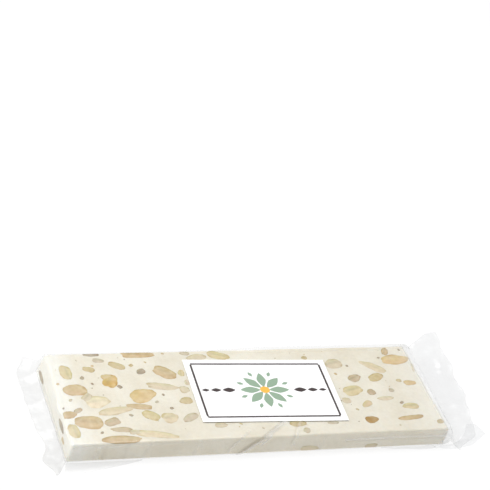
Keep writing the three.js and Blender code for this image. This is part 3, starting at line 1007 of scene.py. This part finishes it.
def flap_film(flap, out, h, upper, tight):
    """Place, painted shade and veil of the film on a flap, which starts out as the tight film."""
    place, painted_shade, veil = tight
    reach = flap_reach(flap, h)
    s = clamp(out / reach, 0, 1)
    spread = smooth(s, 0, 1)
    corner = smooth(h, *BACK_CORNER)
    y_flat = mix(mix(*flap["front_y"], spread), mix(*flap["back_y"], spread), h)
    start = BAR_HEIGHT * mix(*FLAP_START, corner)
    fall = clamp(out / (reach * 0.55), 0, 1) ** 0.8
    middle = mix(start, along(flap["edge_height"], h), fall)
    shared, own = flap["drawn"]
    seam = smooth(1 - s, 0.0, 0.25)
    bend = crumple(shared, out, y_flat) * (0.45 + 0.55 * seam)
    own_y = y_flat if upper else y_flat + LAYER_SHIFT
    apart = LAYERS_APART + abs(crumple(own, out, own_y)) * seam
    apart += FINE_WAVE * noise.noise(Vector((out * 0.5, y_flat * 0.5, 2.0 if upper else 6.0)))
    apart *= smooth(1 - s, 0, 0.08) * smooth(h, 0, 0.04)
    fine = FINE_WAVE * noise.noise(Vector((out * 0.4, y_flat * 0.4, 8.0)))
    centre = max(middle + bend * smooth(out, 0.5, 5.0) + fine, FLAP_FOOT)
    z_flat = centre + apart if upper else max(centre - apart, FLAP_FOOT / 2)
    closed = smooth(out, 0, mix(*flap["shoulder"], corner))
    x_flat = flap["side"] * (BAR_LENGTH / 2 + out)
    spot = Vector((
        mix(place.x, x_flat, smooth(out, 0, 1.5)),
        mix(place.y, y_flat, closed),
        mix(place.z, z_flat, closed),
    ))
    streak = noise.noise(Vector((out * 0.08, y_flat * 0.3, flap["side"] * 5.0)))
    veil = mix(veil, 0.045 + 0.05 * max(0, streak), closed)
    # Painted shade: the flap's film is greyed towards its front, in dark streaks, and by a
    # painted shadow beside the bar
    shadow = mix(*flap["grey"], smooth(h, 0.05, 0.35) * smooth(out, 0, 4))
    shadow += 0.06 * max(0, -streak) + flap["painted_shadow_by_bar"] * smooth(12 - out, 0, 9)
    return spot, mix(painted_shade, shadow, closed), veil


def bag_stations(steps):
    """Stations along the bar, closer together where the diagonal creases are."""
    low, high = -BAR_LENGTH / 2, BAR_LENGTH / 2
    fine_low, fine_high = FINE_ZONE
    coarse = (high - low) - (fine_high - fine_low)
    before = (fine_low - low) / coarse * (1 - FINE_SHARE)
    stations = []
    for i in range(steps + 1):
        t = i / steps
        if t < before:
            stations.append(mix(low, fine_low, t / before))
        elif t < before + FINE_SHARE:
            stations.append(mix(fine_low, fine_high, (t - before) / FINE_SHARE))
        else:
            past = (t - before - FINE_SHARE) / (1 - before - FINE_SHARE)
            stations.append(mix(fine_high, high, past))
    return stations


def with_folds(flap):
    """A flap together with its folds, those that both layers share and their own."""
    return {**flap, "drawn": [draw_folds(*values) for values in flap["folds"]]}


def make_film_bag():
    """A grid whose columns run along the bar and whose rows run once round it."""
    left, right = with_folds(LEFT_FLAP), with_folds(RIGHT_FLAP)
    stations = bag_stations(BAG_STEPS)
    columns = BAG_STEPS + 2 * FLAP_STEPS
    bm = bmesh.new()
    painted_shade_layer = bm.verts.layers.float.new("painted_shade")
    veil_layer = bm.verts.layers.float.new("veil")
    unit_grid(bm, columns, AROUND_STEPS)
    for vert in bm.verts:
        column = round((vert.co.x + 0.5) * columns)
        row = round((vert.co.y + 0.5) * AROUND_STEPS)
        turn = 2 * row / AROUND_STEPS
        upper = turn <= 1
        h = turn if upper else 2 - turn
        values = tight_film(stations[clamp(column - FLAP_STEPS, 0, BAG_STEPS)], h, upper)
        if column < FLAP_STEPS:
            out = flap_reach(left, h) * (1 - column / FLAP_STEPS)
            values = flap_film(left, out, h, upper, values)
        elif column > columns - FLAP_STEPS:
            out = flap_reach(right, h) * (column - columns + FLAP_STEPS) / FLAP_STEPS
            values = flap_film(right, out, h, upper, values)
        vert.co, vert[painted_shade_layer], vert[veil_layer] = values
    bmesh.ops.remove_doubles(bm, verts=bm.verts, dist=0.002)
    film = film_material("bag_film", FILM_TINT, FILM_MILK)
    finish_piece("film_bag", bm, [film], ["wrapped_nougat_bar"])


# The label

def on_label(point, lift):
    """Turns and places a point of the label, and lets it follow the film's slow waves."""
    flat = Matrix.Rotation(LABEL_TURN, 3, "Z") @ Vector((point.x, point.y, 0))
    x, y = flat.x + LABEL_X, flat.y + LABEL_Y
    wave = LABEL_WAVE * noise.noise(Vector((x * 0.07, y * 0.07, 3)))
    return Vector((x, y, FILM_TOP + LABEL_LIFT + wave + lift))


def make_label():
    bm = bmesh.new()
    unit_grid(bm, round(LABEL_LENGTH), round(LABEL_WIDTH))
    _, raised = extruded(bm, bm.faces[:])
    for vert in bm.verts:
        flat = Vector((vert.co.x * LABEL_LENGTH, vert.co.y * LABEL_WIDTH, 0))
        vert.co = on_label(flat, LABEL_THICKNESS if vert in raised else 0)
    paper = paint("white_label_paper", (0.95, 0.95, 0.94))
    finish_piece("paper_label", bm, [paper], ["label"])


def add_shape(whole, ink, place, size, turn=0.0, sides=32, pointed=1.0):
    """Prints a thin oval; pointed over 1 draws out its ends, and 4 sides make it a bar."""
    one = bmesh.new()
    bmesh.ops.create_circle(one, cap_ends=True, segments=sides, radius=1.0)
    if sides == 4:
        eighth = Matrix.Rotation(math.radians(45), 3, "Z")
        bmesh.ops.rotate(one, verts=one.verts, matrix=eighth)
        bmesh.ops.scale(one, verts=one.verts, vec=(math.sqrt(2), math.sqrt(2), 1))
    for vert in one.verts:
        if sides > 4 and abs(vert.co.x) < 1:
            vert.co.y *= (1 - abs(vert.co.x)) ** (pointed - 1)
    bmesh.ops.scale(one, verts=one.verts, vec=(size[0] / 2, size[1] / 2, 1))
    _, raised = extruded(one, one.faces[:])
    bmesh.ops.translate(one, verts=list(raised), vec=(0, 0, PRINT_THICKNESS))
    bmesh.ops.rotate(one, verts=one.verts, matrix=Matrix.Rotation(turn, 3, "Z"))
    bmesh.ops.translate(one, verts=one.verts, vec=(*place, 0))
    bmesh.ops.recalc_face_normals(one, faces=one.faces)
    for face in one.faces:
        face.material_index = ink
    add_to(whole, one)


def around_middle(radius, angle):
    """The x and y of a point on a circle round the label's middle."""
    return radius * math.cos(angle), radius * math.sin(angle)


def make_print():
    """A rosette of pointed petals, a row of seeds at each side, and a ruled border."""
    bm = bmesh.new()
    green, orange, brown = 0, 1, 2
    for i in range(PETALS):
        angle = 2 * math.pi * i / PETALS
        place = around_middle(PETAL_RADIUS, angle)
        add_shape(bm, green, place, PETAL_SIZE, angle, 32, POINTED)
        angle += math.pi / PETALS
        place = around_middle(SMALL_PETAL_RADIUS, angle)
        add_shape(bm, green, place, SMALL_PETAL_SIZE, angle, 24, POINTED)
    add_shape(bm, orange, (0, 0), (CENTRE_DOT, CENTRE_DOT))
    half_long = LABEL_LENGTH / 2 - BORDER_INSET
    half_wide = LABEL_WIDTH / 2 - BORDER_INSET
    long_rule = (2 * half_long, BORDER_RULE)
    short_rule = (BORDER_RULE, 2 * half_wide - BORDER_RULE)
    for side in (-1, 1):
        for x, length, width in SEED_ROW:
            add_shape(bm, brown, (side * x, 0), (length, width), sides=28, pointed=POINTED)
        add_shape(bm, brown, (0, side * half_wide), long_rule, sides=4)
        add_shape(bm, brown, (side * half_long, 0), short_rule, sides=4)
    for vert in bm.verts:
        vert.co = on_label(vert.co, LABEL_THICKNESS + vert.co.z + PRINT_LIFT)
    inks = [
        paint("sage_green_ink", (0.27, 0.38, 0.27)),
        paint("orange_ink", (0.86, 0.46, 0.06)),
        paint("dark_brown_ink", (0.045, 0.027, 0.026)),
    ]
    finish_piece("label_print", bm, inks, smooth_faces=False)


# Loose film: thin double sheets that lie on the surface

def point_along(points, t):
    """A point at share t of a chain of evenly counted points."""
    at = clamp(t, 0, 1) * (len(points) - 1)
    i = min(int(at), len(points) - 2)
    return Vector(points[i]).lerp(Vector(points[i + 1]), at - i)


def make_film_sheet(name, film, inner, outer, rise, seed, grey):
    """A double sheet between its two edges, with an arch and crumples, thin at its edges."""
    bm = bmesh.new()
    veil_layer = bm.verts.layers.float.new("veil")
    painted_shade_layer = bm.verts.layers.float.new("painted_shade")
    unit_grid(bm, *SHEET_GRID)
    _, raised = extruded(bm, bm.faces[:])
    folds = draw_folds(seed, SHEET_FOLDS, rise)
    for vert in bm.verts:
        s, t = vert.co.x + 0.5, vert.co.y + 0.5
        spot = point_along(inner, s).lerp(point_along(outer, s), t)
        out = -BAR_WIDTH / 2 - spot.y
        if abs(spot.x) > SHEET_CORNER_X:
            out = abs(spot.x) - BAR_LENGTH / 2
        bend = abs(crumple(folds, out * 1.4, spot.y + spot.x * 0.8))
        z = SHEET_FOOT + rise * 0.35 * math.sin(math.pi * (t * 0.9)) + bend * 0.6
        if vert in raised:
            z += SHEET_THICKNESS * (0.4 + 0.6 * math.sin(math.pi * t))
        vert.co = Vector((spot.x, spot.y, z))
        vert[veil_layer] = SHEET_VEIL
        # Painted shade: grey darkens the sheet's film tint
        vert[painted_shade_layer] = grey
    finish_piece(name, bm, [film])


def make_film_sheets():
    film = film_material("thin_film", THIN_FILM_TINT, THIN_FILM_MILK)
    for name, sheet in FILM_SHEETS.items():
        make_film_sheet(name, film, **sheet)


make_camera()
make_floor()
make_studio()
make_nougat()
cut_almond = almond_material()
make_almonds(cut_almond)
make_crumbs(cut_almond)
make_film_bag()
make_label()
make_print()
make_film_sheets()
